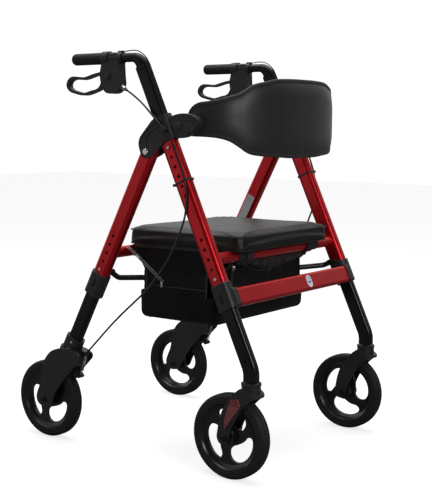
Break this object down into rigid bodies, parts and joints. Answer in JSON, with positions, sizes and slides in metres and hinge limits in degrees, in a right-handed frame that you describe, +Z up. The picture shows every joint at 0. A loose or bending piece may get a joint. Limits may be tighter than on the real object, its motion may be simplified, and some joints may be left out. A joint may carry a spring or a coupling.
{
  "type": "rollator walker",
  "caption": "Folding wheeled walking frame with padded seat, hanging bag, curved backrest, height-adjusting legs and handles, swivelling front wheels and loop-lever brakes.",
  "frame": {"origin": "on the floor, midway between the front and rear axles and between the two sides", "axes": "the walker faces -Y; +X is the user's left; +Z is up"},
  "size_m": [0.607, 0.7912, 1.0001],
  "materials": {
    "red_paint": "gloss metallic",
    "black_gloss": "gloss",
    "black_plastic": "satin moulded",
    "rim_plastic": "gloss moulded",
    "grip_rubber": "matte",
    "tyre": "matte",
    "steel": "zinc plated",
    "vinyl": "grained vinyl",
    "nylon": "woven",
    "neoprene": "smooth laminated",
    "cable_jacket": "smooth",
    "badge": "gloss"
  },
  "bodies": {
    "front_frame": {"front_legs": "red_paint", "front_cross_tube": "red_paint", "front_crossbar": "red_paint", "crossbar_badge": "badge", "front_collars": "black_plastic", "pivot_brackets": "black_plastic", "frame_bolts": "steel", "leg_cables": "cable_jacket", "bag": "nylon"},
    "rear_frame": {"rear_legs": "red_paint", "rear_cross_tube": "red_paint", "rear_collars": "black_plastic", "cable_guides": "steel", "lower_cables": "cable_jacket"},
    "seat": {"seat_base": "black_plastic", "seat_pad": "vinyl"},
    "brace_front": {"front_braces": "black_gloss"},
    "brace_rear": {"rear_braces": "black_gloss"},
    "backrest": {"backrest_pad": "neoprene", "backrest_ends": "black_plastic"},
    "handle_left": {"handle_post_left": "black_gloss", "handlebar_left": "black_gloss", "hand_grip_left": "grip_rubber", "brake_housing_left": "black_plastic", "upper_cables_left": "cable_jacket"},
    "lever_left": {"brake_lever_left": "black_plastic"},
    "handle_button_left": {"handle_pin_left": "steel"},
    "front_ext_left": {"front_extension_left": "black_gloss"},
    "front_button_left": {"front_leg_pin_left": "steel"},
    "caster_left": {"caster_fork_left": "black_plastic", "front_axle_left": "steel"},
    "front_wheel_left": {"front_rim_left": "rim_plastic", "front_tyre_left": "tyre"},
    "rear_ext_left": {"rear_extension_left": "black_gloss", "rear_fork_left": "black_plastic", "rear_axle_left": "steel"},
    "rear_button_left": {"rear_leg_pin_left": "steel"},
    "brake_arm_left": {"brake_arm_left": "steel"},
    "rear_wheel_left": {"rear_rim_left": "rim_plastic", "rear_tyre_left": "tyre"},
    "handle_right": {"handle_post_right": "black_gloss", "handlebar_right": "black_gloss", "hand_grip_right": "grip_rubber", "brake_housing_right": "black_plastic", "upper_cables_right": "cable_jacket"},
    "lever_right": {"brake_lever_right": "black_plastic"},
    "handle_button_right": {"handle_pin_right": "steel"},
    "front_ext_right": {"front_extension_right": "black_gloss"},
    "front_button_right": {"front_leg_pin_right": "steel"},
    "caster_right": {"caster_fork_right": "black_plastic", "front_axle_right": "steel"},
    "front_wheel_right": {"front_rim_right": "rim_plastic", "front_tyre_right": "tyre"},
    "rear_ext_right": {"rear_extension_right": "black_gloss", "rear_fork_right": "black_plastic", "rear_axle_right": "steel"},
    "rear_button_right": {"rear_leg_pin_right": "steel"},
    "brake_arm_right": {"brake_arm_right": "steel"},
    "rear_wheel_right": {"rear_rim_right": "rim_plastic", "rear_tyre_right": "tyre"}
  },
  "joints": [
    {"name": "frame_fold", "type": "hinge", "parent": "front_frame", "child": "rear_frame", "pos_m": [0, -0.05, 0.757], "axis": [-1, 0, 0], "range_deg": [0, 30], "deforming": ["bag", "lower_cables"]},
    {"name": "seat_tip", "type": "hinge", "parent": "front_frame", "child": "seat", "pos_m": [0, -0.235, 0.51], "axis": [1, 0, 0], "range_deg": [0, 66]},
    {"name": "front_brace_fold", "type": "hinge", "parent": "front_frame", "child": "brace_front", "pos_m": [0, -0.252, 0.455], "axis": [1, 0, 0], "range_deg": [0, 54]},
    {"name": "rear_brace_fold", "type": "hinge", "parent": "rear_frame", "child": "brace_rear", "pos_m": [0, 0.104, 0.45], "axis": [-1, 0, 0], "range_deg": [0, 48.1]},
    {"name": "backrest_pull", "type": "slide", "parent": "front_frame", "child": "backrest", "axis": [0, -1, 0], "range_m": [0, 0.045]},
    {"name": "handle_height_left", "type": "slide", "parent": "front_frame", "child": "handle_left", "axis": [0, 0.4187, 0.9081], "range_m": [-0.1225, 0], "deforming": ["upper_cables_left", "handle_pin_left"]},
    {"name": "brake_squeeze_left", "type": "hinge", "parent": "handle_left", "child": "lever_left", "pos_m": [0.273, 0.075, 0.939], "axis": [1, 0, 0], "range_deg": [0, 8], "stiffness_Nm_per_rad": 2, "springref_deg": -8.59},
    {"name": "handle_pin_press_left", "type": "slide", "parent": "handle_left", "child": "handle_button_left", "axis": [-1, 0, 0], "range_m": [0, 0.0052], "stiffness_N_per_m": 800},
    {"name": "front_height_left", "type": "slide", "parent": "front_frame", "child": "front_ext_left", "axis": [0, 0.4187, 0.9081], "range_m": [0, 0.098], "deforming": ["front_leg_pin_left"]},
    {"name": "front_pin_press_left", "type": "slide", "parent": "front_ext_left", "child": "front_button_left", "axis": [-1, 0, 0], "range_m": [0, 0.0052], "stiffness_N_per_m": 800},
    {"name": "caster_swivel_left", "type": "hinge", "parent": "front_ext_left", "child": "caster_left", "pos_m": [0.273, -0.349, 0.222], "axis": [0, 0, 1], "continuous": true},
    {"name": "front_wheel_spin_left", "type": "hinge", "parent": "caster_left", "child": "front_wheel_left", "pos_m": [0.273, -0.294, 0.1016], "axis": [1, 0, 0], "continuous": true},
    {"name": "rear_height_left", "type": "slide", "parent": "rear_frame", "child": "rear_ext_left", "axis": [0, -0.4602, 0.8878], "range_m": [0, 0.098], "deforming": ["rear_leg_pin_left"]},
    {"name": "rear_pin_press_left", "type": "slide", "parent": "rear_ext_left", "child": "rear_button_left", "axis": [-1, 0, 0], "range_m": [0, 0.0052], "stiffness_N_per_m": 800},
    {"name": "brake_arm_turn_left", "type": "hinge", "parent": "rear_ext_left", "child": "brake_arm_left", "pos_m": [0.273, 0.205, 0.19], "axis": [-1, 0, 0], "range_deg": [0, 3.6], "stiffness_Nm_per_rad": 1},
    {"name": "rear_wheel_spin_left", "type": "hinge", "parent": "rear_ext_left", "child": "rear_wheel_left", "pos_m": [0.273, 0.294, 0.1016], "axis": [1, 0, 0], "continuous": true},
    {"name": "handle_height_right", "type": "slide", "parent": "front_frame", "child": "handle_right", "axis": [0, 0.4187, 0.9081], "range_m": [-0.1225, 0], "deforming": ["upper_cables_right", "handle_pin_right"]},
    {"name": "brake_squeeze_right", "type": "hinge", "parent": "handle_right", "child": "lever_right", "pos_m": [-0.273, 0.075, 0.939], "axis": [1, 0, 0], "range_deg": [0, 8], "stiffness_Nm_per_rad": 2, "springref_deg": -8.59},
    {"name": "handle_pin_press_right", "type": "slide", "parent": "handle_right", "child": "handle_button_right", "axis": [1, 0, 0], "range_m": [0, 0.0052], "stiffness_N_per_m": 800},
    {"name": "front_height_right", "type": "slide", "parent": "front_frame", "child": "front_ext_right", "axis": [0, 0.4187, 0.9081], "range_m": [0, 0.098], "deforming": ["front_leg_pin_right"]},
    {"name": "front_pin_press_right", "type": "slide", "parent": "front_ext_right", "child": "front_button_right", "axis": [1, 0, 0], "range_m": [0, 0.0052], "stiffness_N_per_m": 800},
    {"name": "caster_swivel_right", "type": "hinge", "parent": "front_ext_right", "child": "caster_right", "pos_m": [-0.273, -0.349, 0.222], "axis": [0, 0, 1], "continuous": true},
    {"name": "front_wheel_spin_right", "type": "hinge", "parent": "caster_right", "child": "front_wheel_right", "pos_m": [-0.273, -0.294, 0.1016], "axis": [1, 0, 0], "continuous": true},
    {"name": "rear_height_right", "type": "slide", "parent": "rear_frame", "child": "rear_ext_right", "axis": [0, -0.4602, 0.8878], "range_m": [0, 0.098], "deforming": ["rear_leg_pin_right"]},
    {"name": "rear_pin_press_right", "type": "slide", "parent": "rear_ext_right", "child": "rear_button_right", "axis": [1, 0, 0], "range_m": [0, 0.0052], "stiffness_N_per_m": 800},
    {"name": "brake_arm_turn_right", "type": "hinge", "parent": "rear_ext_right", "child": "brake_arm_right", "pos_m": [-0.273, 0.205, 0.19], "axis": [-1, 0, 0], "range_deg": [0, 3.6], "stiffness_Nm_per_rad": 1},
    {"name": "rear_wheel_spin_right", "type": "hinge", "parent": "rear_ext_right", "child": "rear_wheel_right", "pos_m": [-0.273, 0.294, 0.1016], "axis": [1, 0, 0], "continuous": true}
  ],
  "couplings": [
    {"joint": "seat_tip", "follows": "frame_fold", "ratio": 2.2},
    {"joint": "front_brace_fold", "follows": "frame_fold", "ratio": 1.7957},
    {"joint": "rear_brace_fold", "follows": "frame_fold", "ratio": 1.5982},
    {"joint": "brake_arm_turn_left", "follows": "brake_squeeze_left", "ratio": 0.4375},
    {"joint": "brake_arm_turn_right", "follows": "brake_squeeze_right", "ratio": 0.4375}
  ]
}
